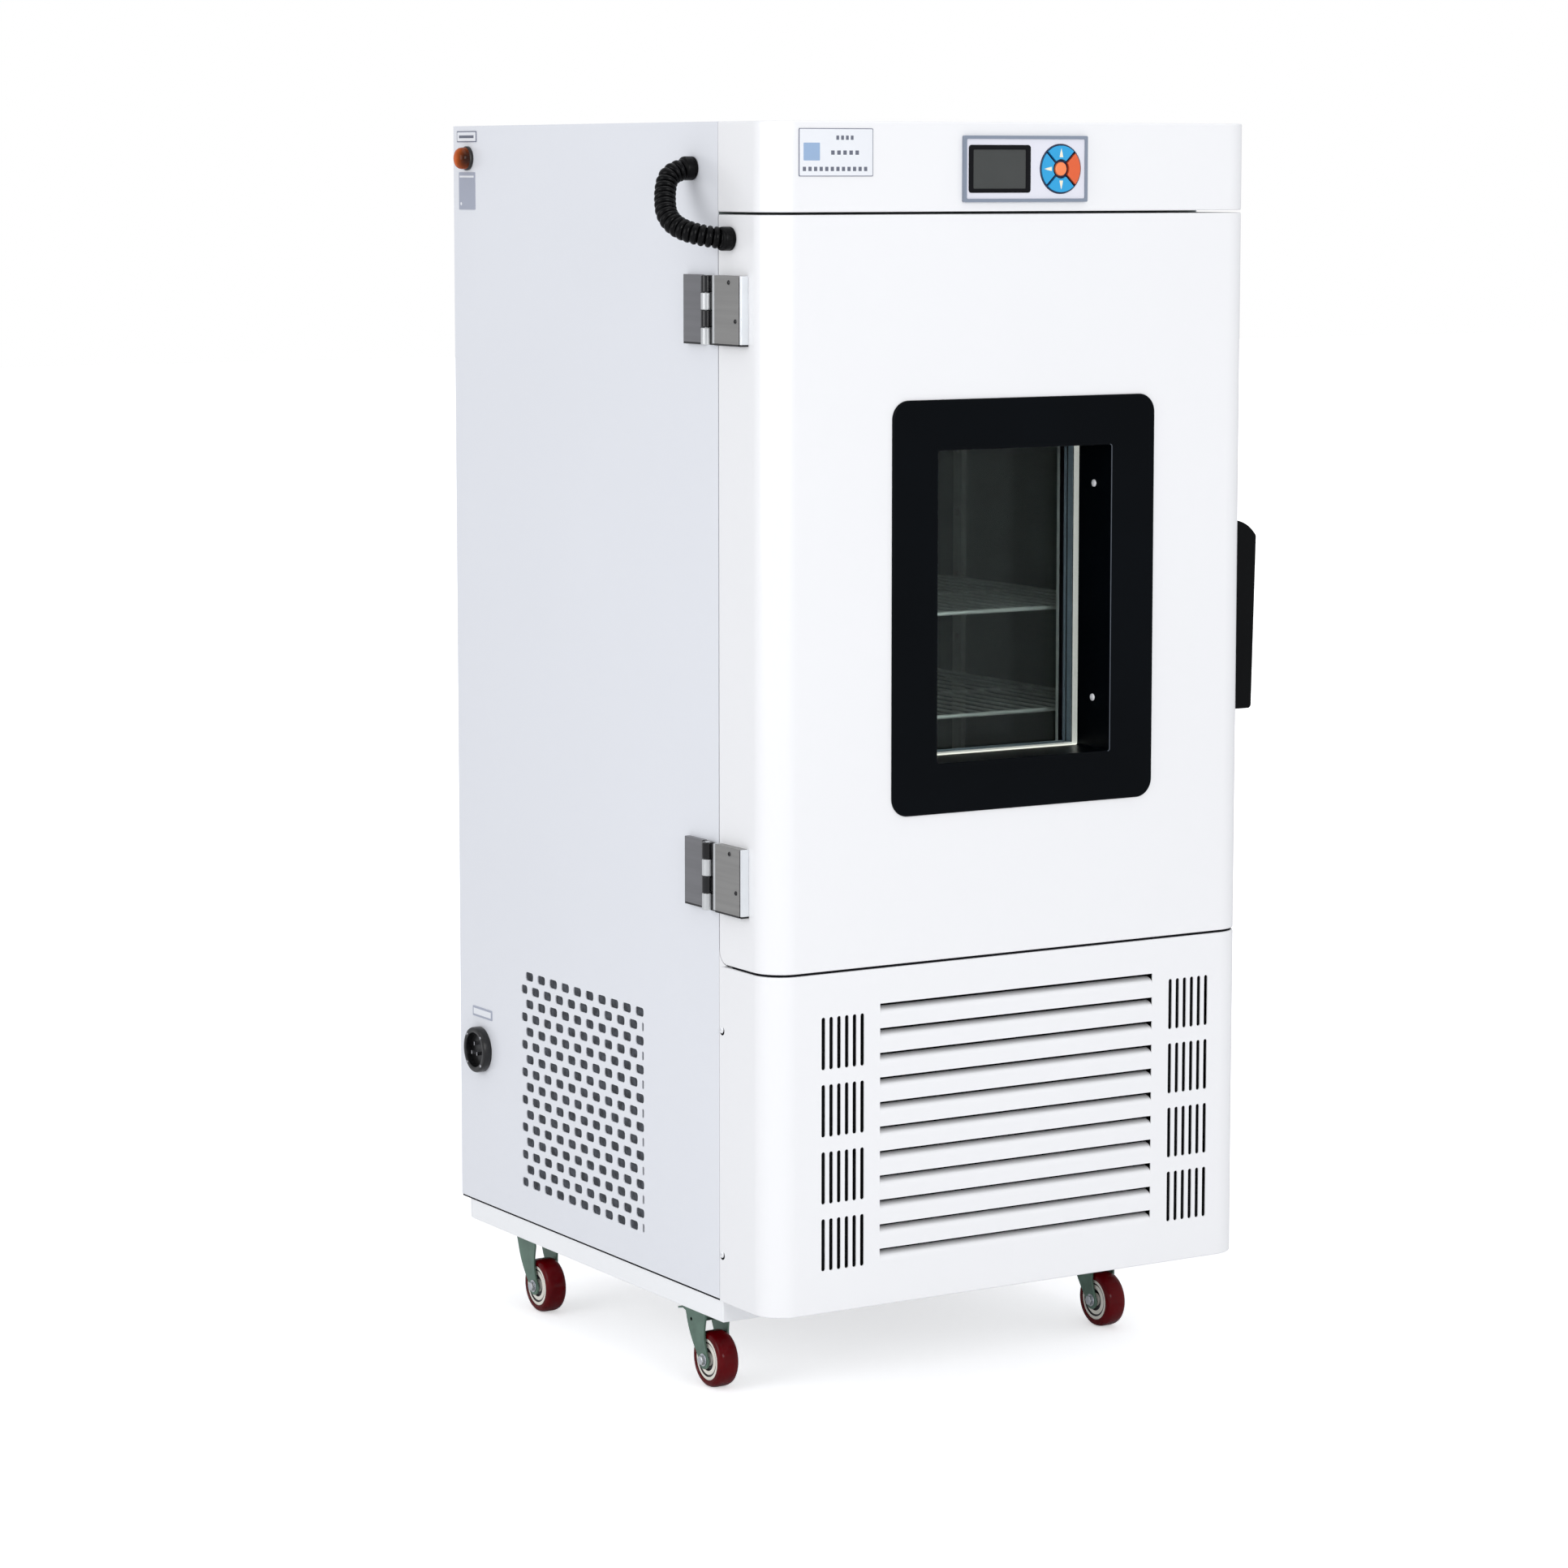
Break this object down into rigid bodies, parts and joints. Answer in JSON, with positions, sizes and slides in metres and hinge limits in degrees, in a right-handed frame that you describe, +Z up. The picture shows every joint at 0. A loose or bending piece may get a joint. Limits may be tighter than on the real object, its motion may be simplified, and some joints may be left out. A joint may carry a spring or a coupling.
{
  "type": "seed germination chamber",
  "caption": "Upright insulated chamber on swivel casters with a side-hinged glazed door, a control fascia above it and a louvred machine compartment below.",
  "frame": {"origin": "centre of the whole object's footprint, on the floor under the casters", "axes": "+Z up, -Y toward the door and the user, +X to the user's right when facing the door"},
  "size_m": [0.8621, 0.8486, 1.6478],
  "materials": {
    "white_paint": "satin powder coat, white",
    "grey_white_paint": "satin powder coat, cool white",
    "stainless": "brushed stainless sheet",
    "polished_stainless": "brushed hinge steel with polished edges",
    "zinc": "grey-green zinc plate",
    "pin_steel": "bright steel",
    "aluminium_fins": "mill finish fins",
    "spacer_aluminium": "bright satin aluminium",
    "black_frame": "satin black moulding",
    "black_plastic": "fine-grained black plastic",
    "black_rubber": "matt black conduit",
    "gasket": "soft white magnetic gasket",
    "foam": "rigid foam board",
    "filter": "grey open-cell filter mat",
    "glass": "clear float glass, slightly green",
    "amber": "amber lens",
    "label": "satin blue-grey plate",
    "bezel": "silver-white control plate",
    "screen": "dark display window in a black rim",
    "navy": "navy keypad",
    "blue_key": "blue key",
    "orange_key": "orange key",
    "light_orange_key": "light orange key",
    "board_box": "dark electronics housing",
    "compressor_black": "gloss black enamel",
    "heater_steel": "dark heater sheath",
    "fan_black": "black fan moulding",
    "wheel": "dark red tread on a cream hub"
  },
  "bodies": {
    "cabinet": {"base_frame": "white_paint", "side_panel_left": "grey_white_paint", "side_panel_right": "grey_white_paint", "rear_panel": "grey_white_paint", "top_cover": "grey_white_paint", "front_fascia": "white_paint", "lower_front_panel": "white_paint", "face_frame": "white_paint", "inner_liner": "stainless", "insulation": "foam", "intake_filter": "filter", "hinge_fixed_leaves": "polished_stainless", "hinge_pins": "pin_steel", "indicator_lamp": "amber", "power_inlet": "black_plastic", "label_plates": "label", "hose_cuff_cabinet": "black_rubber", "door_hose": "black_rubber", "controller_bezel": "bezel", "lcd_screen": "screen", "keypad_base": "navy", "control_box": "board_box", "shelf_supports": "stainless", "air_duct_panel": "stainless", "evaporator": "aluminium_fins", "air_heater": "heater_steel", "circulation_motor": "black_plastic", "compressor": "compressor_black", "condenser": "aluminium_fins", "condenser_shroud": "zinc", "caster_plates": "zinc"},
    "door": {"door_shell": "white_paint", "door_liner": "grey_white_paint", "door_insulation": "foam", "door_gasket": "gasket", "window_frame": "black_frame", "glass_panes": "glass", "glazing_spacer": "spacer_aluminium", "hinge_door_leaves": "polished_stainless", "door_handle": "black_plastic", "hose_cuff_door": "black_rubber"},
    "key_up": {"key_up": "blue_key"},
    "key_down": {"key_down": "blue_key"},
    "key_left": {"key_left": "blue_key"},
    "key_right": {"key_right": "orange_key"},
    "key_centre": {"key_centre": "light_orange_key"},
    "shelf_lower": {"shelf_lower": "stainless"},
    "shelf_upper": {"shelf_upper": "stainless"},
    "circulation_fan": {"circulation_fan": "fan_black"},
    "condenser_fan": {"condenser_fan": "fan_black"},
    "fork_front_left": {"caster_fork_front_left": "zinc"},
    "wheel_front_left": {"caster_wheel_front_left": "wheel"},
    "fork_front_right": {"caster_fork_front_right": "zinc"},
    "wheel_front_right": {"caster_wheel_front_right": "wheel"},
    "fork_rear_left": {"caster_fork_rear_left": "zinc"},
    "wheel_rear_left": {"caster_wheel_rear_left": "wheel"},
    "fork_rear_right": {"caster_fork_rear_right": "zinc"},
    "wheel_rear_right": {"caster_wheel_rear_right": "wheel"},
    "pedal_front_left": {"brake_pedal_front_left": "zinc"},
    "pedal_front_right": {"brake_pedal_front_right": "zinc"}
  },
  "joints": [
    {"name": "door_hinge", "type": "hinge", "parent": "cabinet", "child": "door", "pos_m": [-0.3625, -0.28165, 1.05], "axis": [0, 0, -1], "range_deg": [0, 115], "deforming": ["door_hose"]},
    {"name": "key_up_press", "type": "slide", "parent": "cabinet", "child": "key_up", "axis": [0, 1, 0], "range_m": [0, 0.0012], "stiffness_N_per_m": 900, "springref_m": -0.0005},
    {"name": "key_down_press", "type": "slide", "parent": "cabinet", "child": "key_down", "axis": [0, 1, 0], "range_m": [0, 0.0012], "stiffness_N_per_m": 900, "springref_m": -0.0005},
    {"name": "key_left_press", "type": "slide", "parent": "cabinet", "child": "key_left", "axis": [0, 1, 0], "range_m": [0, 0.0012], "stiffness_N_per_m": 900, "springref_m": -0.0005},
    {"name": "key_right_press", "type": "slide", "parent": "cabinet", "child": "key_right", "axis": [0, 1, 0], "range_m": [0, 0.0012], "stiffness_N_per_m": 900, "springref_m": -0.0005},
    {"name": "key_centre_press", "type": "slide", "parent": "cabinet", "child": "key_centre", "axis": [0, 1, 0], "range_m": [0, 0.0012], "stiffness_N_per_m": 900, "springref_m": -0.0005},
    {"name": "shelf_lower_slide", "type": "slide", "parent": "cabinet", "child": "shelf_lower", "axis": [0, -1, 0], "range_m": [0, 0.171]},
    {"name": "shelf_upper_slide", "type": "slide", "parent": "cabinet", "child": "shelf_upper", "axis": [0, -1, 0], "range_m": [0, 0.171]},
    {"name": "circulation_fan_spin", "type": "hinge", "parent": "cabinet", "child": "circulation_fan", "pos_m": [0.0165, 0.28735, 1.3], "axis": [0, 1, 0], "continuous": true},
    {"name": "condenser_fan_spin", "type": "hinge", "parent": "cabinet", "child": "condenser_fan", "pos_m": [-0.0985, -0.05465, 0.286], "axis": [0, 1, 0], "continuous": true},
    {"name": "swivel_front_left", "type": "hinge", "parent": "cabinet", "child": "fork_front_left", "pos_m": [-0.2935, -0.15765, 0.105], "axis": [0, 0, 1], "continuous": true},
    {"name": "roll_front_left", "type": "hinge", "parent": "fork_front_left", "child": "wheel_front_left", "pos_m": [-0.2935, -0.18265, 0.0375], "axis": [1, 0, 0], "continuous": true},
    {"name": "swivel_front_right", "type": "hinge", "parent": "cabinet", "child": "fork_front_right", "pos_m": [0.3265, -0.15765, 0.105], "axis": [0, 0, 1], "continuous": true},
    {"name": "roll_front_right", "type": "hinge", "parent": "fork_front_right", "child": "wheel_front_right", "pos_m": [0.3265, -0.18265, 0.0375], "axis": [1, 0, 0], "continuous": true},
    {"name": "swivel_rear_left", "type": "hinge", "parent": "cabinet", "child": "fork_rear_left", "pos_m": [-0.2935, 0.31335, 0.105], "axis": [0, 0, 1], "continuous": true},
    {"name": "roll_rear_left", "type": "hinge", "parent": "fork_rear_left", "child": "wheel_rear_left", "pos_m": [-0.2935, 0.28835, 0.0375], "axis": [1, 0, 0], "continuous": true},
    {"name": "swivel_rear_right", "type": "hinge", "parent": "cabinet", "child": "fork_rear_right", "pos_m": [0.3265, 0.31335, 0.105], "axis": [0, 0, 1], "continuous": true},
    {"name": "roll_rear_right", "type": "hinge", "parent": "fork_rear_right", "child": "wheel_rear_right", "pos_m": [0.3265, 0.28835, 0.0375], "axis": [1, 0, 0], "continuous": true},
    {"name": "brake_front_left", "type": "hinge", "parent": "fork_front_left", "child": "pedal_front_left", "pos_m": [-0.2935, -0.15165, 0.086], "axis": [-1, 0, 0], "range_deg": [0, 12]},
    {"name": "brake_front_right", "type": "hinge", "parent": "fork_front_right", "child": "pedal_front_right", "pos_m": [0.3265, -0.15165, 0.086], "axis": [-1, 0, 0], "range_deg": [0, 12]}
  ],
  "couplings": [
    {"joint": "shelf_lower_slide", "follows": "door_hinge", "m_per_rad": 0.085},
    {"joint": "shelf_upper_slide", "follows": "door_hinge", "m_per_rad": 0.085}
  ]
}
